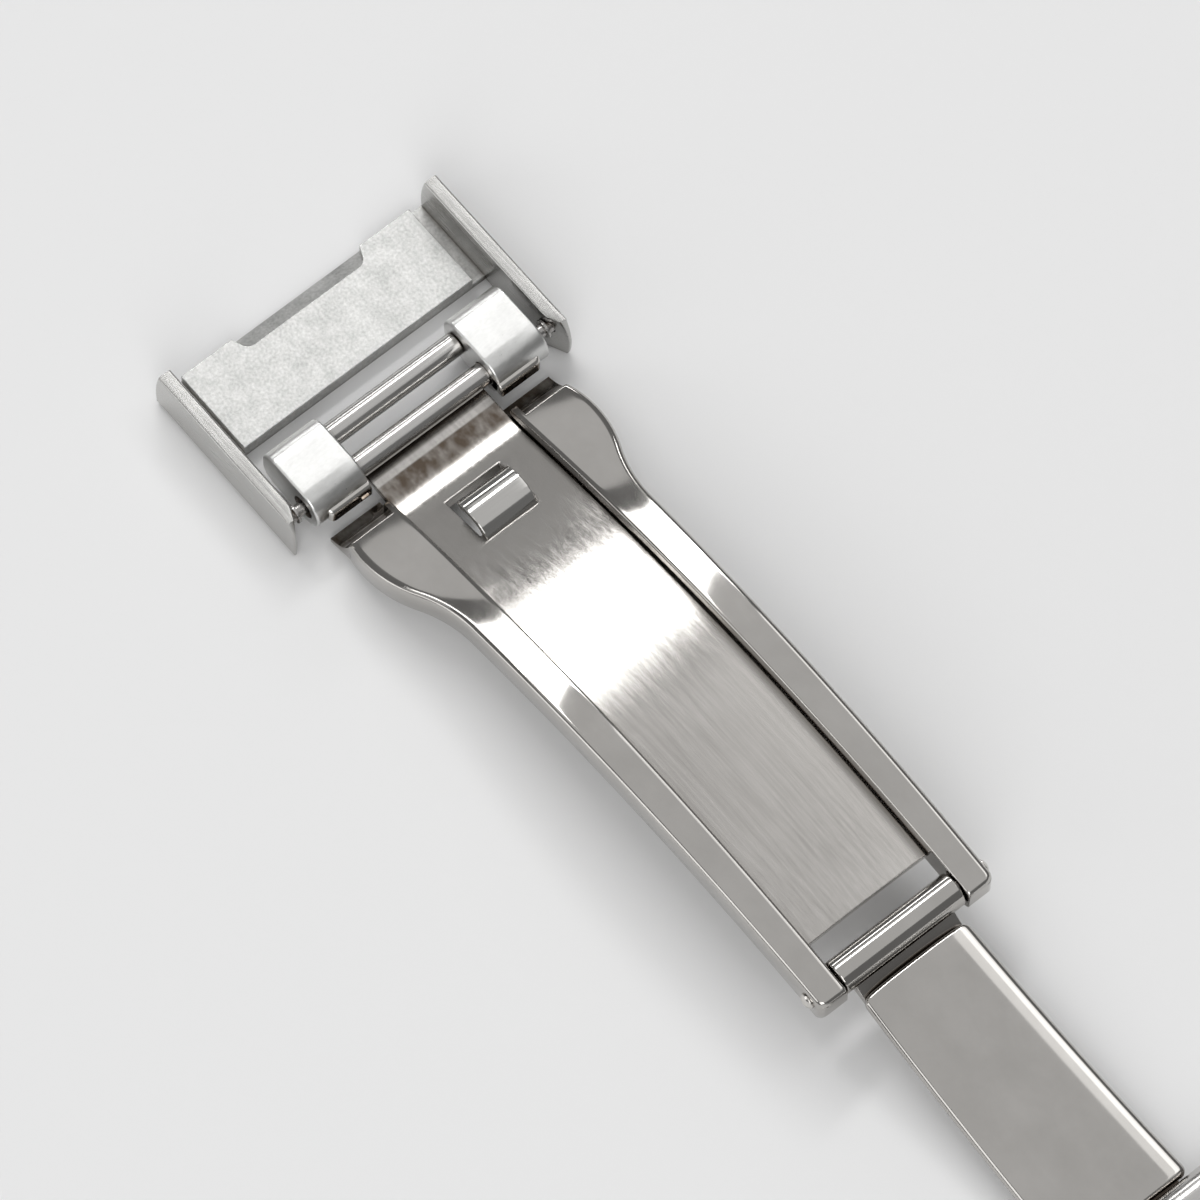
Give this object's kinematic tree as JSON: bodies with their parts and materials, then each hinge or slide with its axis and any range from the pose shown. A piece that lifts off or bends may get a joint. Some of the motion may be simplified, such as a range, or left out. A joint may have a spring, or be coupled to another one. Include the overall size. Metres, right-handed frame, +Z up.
{
  "type": "deployant clasp",
  "caption": "Folding deployant clasp for a watch strap: channel cover, extension link on a spring bar, crowned main blade with a catch bridge, and a short blade with a strap tube.",
  "frame": {"origin": "bottom centre of the bounding box, with the clasp unfolded and lying on its cover", "axes": "+X from the cover towards the short blade, +Y across the clasp, +Z up from the table"},
  "size_m": [0.0676, 0.018, 0.0058],
  "materials": {
    "polished_steel": "mirror polished stainless steel",
    "brushed_steel": "fine brushed stainless steel",
    "blasted_steel": "satin blasted stainless steel with bright edges",
    "spring_steel": "plain drawn spring steel"
  },
  "bodies": {
    "main_blade": {"rail_left": "polished_steel", "rail_right": "polished_steel", "centre_plate": "brushed_steel", "hinge_pin": "polished_steel", "hinge_bar_tube": "brushed_steel", "hinge_bar_spring": "spring_steel"},
    "cover": {"cover": "blasted_steel"},
    "extension_link": {"link_block_left": "brushed_steel", "link_block_right": "brushed_steel", "strap_bar_tube": "brushed_steel", "strap_bar_spring": "spring_steel"},
    "short_blade": {"short_blade_core": "polished_steel", "short_blade_cap": "polished_steel", "strap_tube": "brushed_steel"},
    "hinge_bar_tip_left": {"hinge_bar_tip_left": "spring_steel"},
    "hinge_bar_tip_right": {"hinge_bar_tip_right": "spring_steel"},
    "strap_bar_tip_left": {"strap_bar_tip_left": "spring_steel"},
    "strap_bar_tip_right": {"strap_bar_tip_right": "spring_steel"}
  },
  "joints": [
    {"name": "cover_hinge", "type": "hinge", "parent": "main_blade", "child": "cover", "pos_m": [-0.0237, 0, 0.0022], "axis": [0, 1, 0], "range_deg": [0, 173]},
    {"name": "link_hinge", "type": "hinge", "parent": "main_blade", "child": "extension_link", "pos_m": [-0.0237, 0, 0.0022], "axis": [0, 1, 0], "range_deg": [-10, 120]},
    {"name": "blade_hinge", "type": "hinge", "parent": "main_blade", "child": "short_blade", "pos_m": [0.0134, 0, 0.00416], "axis": [0, -1, 0], "range_deg": [0, 180]},
    {"name": "hinge_bar_tip_left_slide", "type": "slide", "parent": "main_blade", "child": "hinge_bar_tip_left", "axis": [0, 1, 0], "range_m": [0, 0.0006], "stiffness_N_per_m": 400, "springref_m": -0.003, "deforming": ["hinge_bar_spring"]},
    {"name": "hinge_bar_tip_right_slide", "type": "slide", "parent": "main_blade", "child": "hinge_bar_tip_right", "axis": [0, -1, 0], "range_m": [0, 0.0006], "stiffness_N_per_m": 400, "springref_m": -0.003, "deforming": ["hinge_bar_spring"]},
    {"name": "strap_bar_tip_left_slide", "type": "slide", "parent": "extension_link", "child": "strap_bar_tip_left", "axis": [0, 1, 0], "range_m": [0, 0.0006], "stiffness_N_per_m": 400, "springref_m": -0.003, "deforming": ["strap_bar_spring"]},
    {"name": "strap_bar_tip_right_slide", "type": "slide", "parent": "extension_link", "child": "strap_bar_tip_right", "axis": [0, -1, 0], "range_m": [0, 0.0006], "stiffness_N_per_m": 400, "springref_m": -0.003, "deforming": ["strap_bar_spring"]}
  ]
}
